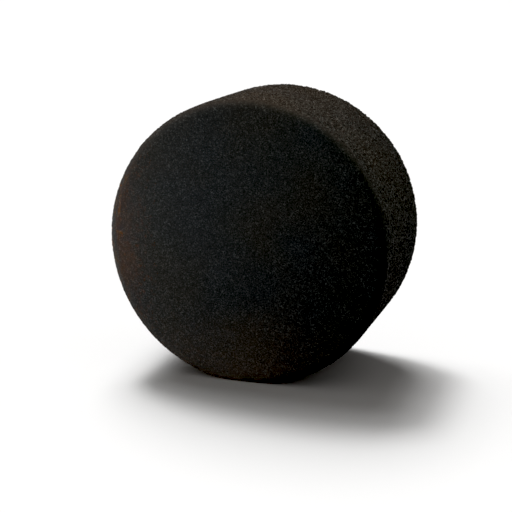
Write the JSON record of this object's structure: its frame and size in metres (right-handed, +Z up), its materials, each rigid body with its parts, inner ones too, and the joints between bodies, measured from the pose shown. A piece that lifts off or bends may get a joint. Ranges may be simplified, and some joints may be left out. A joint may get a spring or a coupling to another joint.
{
  "type": "foam polishing pad",
  "caption": "Thick round black foam polishing pad with a rounded working edge and loop cloth bonded to its back, standing on its rim.",
  "frame": {"origin": "centre of the loop face, the outer plane of the cloth that grips the machine's hook plate", "axes": "+Y is the pad's axis and points out of the loop face, the working face looks along -Y, and +Z is up, away from the flattened foot that the pad stands on"},
  "size_m": [0.1, 0.0524, 0.0988],
  "materials": {
    "foam": "matte",
    "adhesive": "satin",
    "ground_cloth": "matte",
    "loop_thread": "matte"
  },
  "bodies": {
    "foam": {"foam_body": "foam"},
    "backing": {"bond_film": "adhesive", "loop_ground": "ground_cloth", "loop_pile": "loop_thread"}
  },
  "joints": [
    {"name": "compression", "type": "slide", "parent": "foam", "child": "backing", "axis": [0, -1, 0], "range_m": [0, 0.025], "stiffness_N_per_m": 1000, "deforming": ["foam_body"]}
  ]
}
